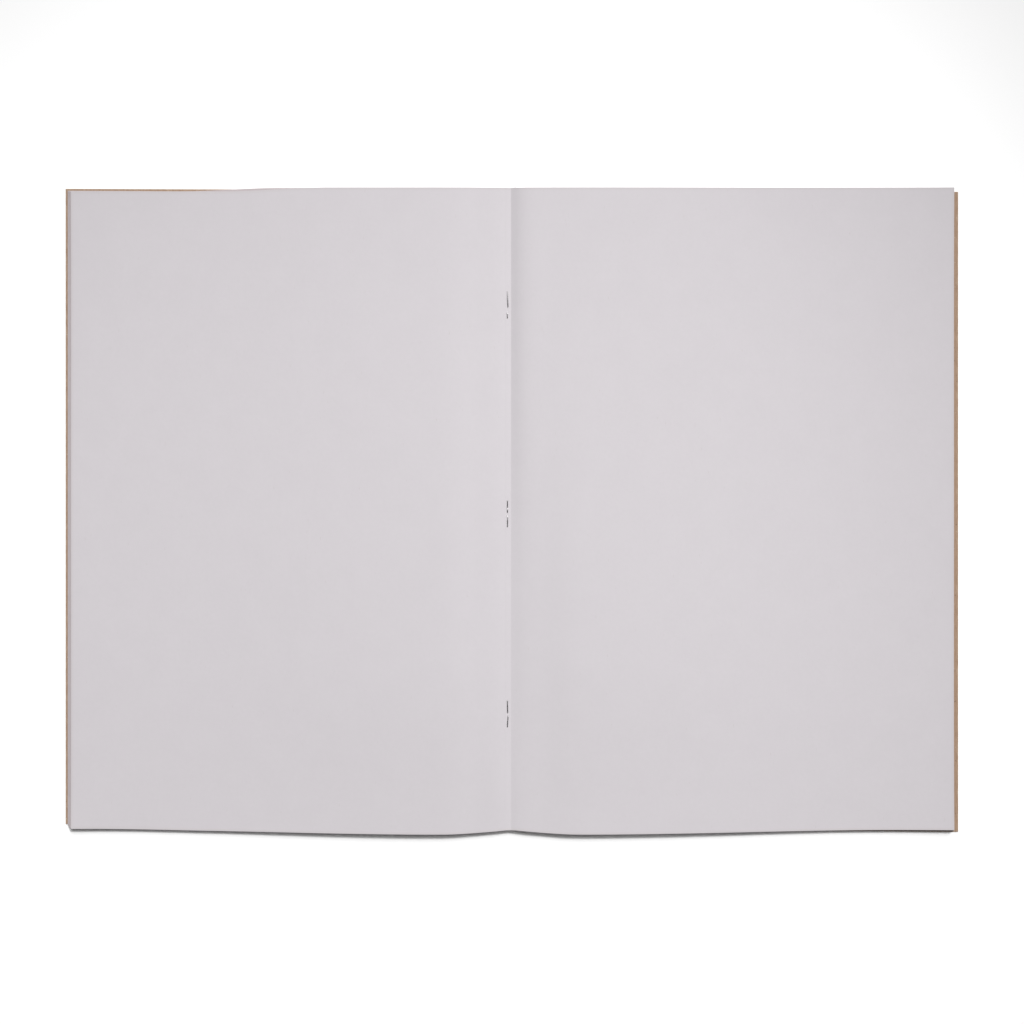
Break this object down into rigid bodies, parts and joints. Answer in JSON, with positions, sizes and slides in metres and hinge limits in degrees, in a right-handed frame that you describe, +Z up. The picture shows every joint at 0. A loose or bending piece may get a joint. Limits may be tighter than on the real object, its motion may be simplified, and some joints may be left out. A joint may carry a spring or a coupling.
{
  "type": "saddle-stitched sketchbook",
  "caption": "Soft-cover portrait sketchbook lying open at its centre spread: blank white drawing leaves that turn, kraft card cover, wire staples through the fold.",
  "frame": {"origin": "the point of the table under the crease, midway between the head and the tail of the open book", "axes": "+X towards the right-hand (back cover) side, +Y along the fold towards the head of the pages, +Z up from the table"},
  "size_m": [0.417, 0.297, 0.0056],
  "materials": {
    "drawing_paper": "matte, fine tooth",
    "cover_card": "matte kraft, flecked fibre",
    "staple_wire": "zinc-plated wire"
  },
  "bodies": {
    "spine": {"cover_spine": "cover_card", "sheet_01_fold": "drawing_paper", "sheet_02_fold": "drawing_paper", "sheet_03_fold": "drawing_paper", "sheet_04_fold": "drawing_paper", "sheet_05_fold": "drawing_paper", "sheet_06_fold": "drawing_paper", "sheet_07_fold": "drawing_paper", "sheet_08_fold": "drawing_paper", "sheet_09_fold": "drawing_paper", "sheet_10_fold": "drawing_paper", "staple_head": "staple_wire", "staple_middle": "staple_wire", "staple_tail": "staple_wire"},
    "front_cover": {"front_cover": "cover_card"},
    "back_cover": {"back_cover": "cover_card"},
    "left_leaf_10": {"left_leaf_10": "drawing_paper"},
    "left_leaf_09": {"left_leaf_09": "drawing_paper"},
    "left_leaf_08": {"left_leaf_08": "drawing_paper"},
    "left_leaf_07": {"left_leaf_07": "drawing_paper"},
    "left_leaf_06": {"left_leaf_06": "drawing_paper"},
    "left_leaf_05": {"left_leaf_05": "drawing_paper"},
    "left_leaf_04": {"left_leaf_04": "drawing_paper"},
    "left_leaf_03": {"left_leaf_03": "drawing_paper"},
    "left_leaf_02": {"left_leaf_02": "drawing_paper"},
    "left_leaf_01": {"left_leaf_01": "drawing_paper"},
    "right_leaf_10": {"right_leaf_10": "drawing_paper"},
    "right_leaf_09": {"right_leaf_09": "drawing_paper"},
    "right_leaf_08": {"right_leaf_08": "drawing_paper"},
    "right_leaf_07": {"right_leaf_07": "drawing_paper"},
    "right_leaf_06": {"right_leaf_06": "drawing_paper"},
    "right_leaf_05": {"right_leaf_05": "drawing_paper"},
    "right_leaf_04": {"right_leaf_04": "drawing_paper"},
    "right_leaf_03": {"right_leaf_03": "drawing_paper"},
    "right_leaf_02": {"right_leaf_02": "drawing_paper"},
    "right_leaf_01": {"right_leaf_01": "drawing_paper"}
  },
  "joints": [
    {"name": "front_cover_turn", "type": "hinge", "parent": "spine", "child": "front_cover", "pos_m": [0, 0, 0.0058], "axis": [0, 1, 0], "range_deg": [0, 179.99]},
    {"name": "left_leaf_10_turn", "type": "hinge", "parent": "front_cover", "child": "left_leaf_10", "pos_m": [0, 0, 0.0058], "axis": [0, 1, 0], "range_deg": [0, 179.99]},
    {"name": "left_leaf_09_turn", "type": "hinge", "parent": "left_leaf_10", "child": "left_leaf_09", "pos_m": [0, 0, 0.0058], "axis": [0, 1, 0], "range_deg": [0, 179.99]},
    {"name": "left_leaf_08_turn", "type": "hinge", "parent": "left_leaf_09", "child": "left_leaf_08", "pos_m": [0, 0, 0.0058], "axis": [0, 1, 0], "range_deg": [0, 179.99]},
    {"name": "left_leaf_07_turn", "type": "hinge", "parent": "left_leaf_08", "child": "left_leaf_07", "pos_m": [0, 0, 0.0058], "axis": [0, 1, 0], "range_deg": [0, 179.99]},
    {"name": "left_leaf_06_turn", "type": "hinge", "parent": "left_leaf_07", "child": "left_leaf_06", "pos_m": [0, 0, 0.0058], "axis": [0, 1, 0], "range_deg": [0, 179.99]},
    {"name": "left_leaf_05_turn", "type": "hinge", "parent": "left_leaf_06", "child": "left_leaf_05", "pos_m": [0, 0, 0.0058], "axis": [0, 1, 0], "range_deg": [0, 179.99]},
    {"name": "left_leaf_04_turn", "type": "hinge", "parent": "left_leaf_05", "child": "left_leaf_04", "pos_m": [0, 0, 0.0058], "axis": [0, 1, 0], "range_deg": [0, 179.99]},
    {"name": "left_leaf_03_turn", "type": "hinge", "parent": "left_leaf_04", "child": "left_leaf_03", "pos_m": [0, 0, 0.0058], "axis": [0, 1, 0], "range_deg": [0, 179.99]},
    {"name": "left_leaf_02_turn", "type": "hinge", "parent": "left_leaf_03", "child": "left_leaf_02", "pos_m": [0, 0, 0.0058], "axis": [0, 1, 0], "range_deg": [0, 179.99]},
    {"name": "left_leaf_01_turn", "type": "hinge", "parent": "left_leaf_02", "child": "left_leaf_01", "pos_m": [0, 0, 0.0058], "axis": [0, 1, 0], "range_deg": [0, 179.99]},
    {"name": "back_cover_turn", "type": "hinge", "parent": "spine", "child": "back_cover", "pos_m": [0, 0, 0.0058], "axis": [0, -1, 0], "range_deg": [0, 179.99]},
    {"name": "right_leaf_10_turn", "type": "hinge", "parent": "back_cover", "child": "right_leaf_10", "pos_m": [0, 0, 0.0058], "axis": [0, -1, 0], "range_deg": [0, 179.99]},
    {"name": "right_leaf_09_turn", "type": "hinge", "parent": "right_leaf_10", "child": "right_leaf_09", "pos_m": [0, 0, 0.0058], "axis": [0, -1, 0], "range_deg": [0, 179.99]},
    {"name": "right_leaf_08_turn", "type": "hinge", "parent": "right_leaf_09", "child": "right_leaf_08", "pos_m": [0, 0, 0.0058], "axis": [0, -1, 0], "range_deg": [0, 179.99]},
    {"name": "right_leaf_07_turn", "type": "hinge", "parent": "right_leaf_08", "child": "right_leaf_07", "pos_m": [0, 0, 0.0058], "axis": [0, -1, 0], "range_deg": [0, 179.99]},
    {"name": "right_leaf_06_turn", "type": "hinge", "parent": "right_leaf_07", "child": "right_leaf_06", "pos_m": [0, 0, 0.0058], "axis": [0, -1, 0], "range_deg": [0, 179.99]},
    {"name": "right_leaf_05_turn", "type": "hinge", "parent": "right_leaf_06", "child": "right_leaf_05", "pos_m": [0, 0, 0.0058], "axis": [0, -1, 0], "range_deg": [0, 179.99]},
    {"name": "right_leaf_04_turn", "type": "hinge", "parent": "right_leaf_05", "child": "right_leaf_04", "pos_m": [0, 0, 0.0058], "axis": [0, -1, 0], "range_deg": [0, 179.99]},
    {"name": "right_leaf_03_turn", "type": "hinge", "parent": "right_leaf_04", "child": "right_leaf_03", "pos_m": [0, 0, 0.0058], "axis": [0, -1, 0], "range_deg": [0, 179.99]},
    {"name": "right_leaf_02_turn", "type": "hinge", "parent": "right_leaf_03", "child": "right_leaf_02", "pos_m": [0, 0, 0.0058], "axis": [0, -1, 0], "range_deg": [0, 179.99]},
    {"name": "right_leaf_01_turn", "type": "hinge", "parent": "right_leaf_02", "child": "right_leaf_01", "pos_m": [0, 0, 0.0058], "axis": [0, -1, 0], "range_deg": [0, 179.99]}
  ]
}
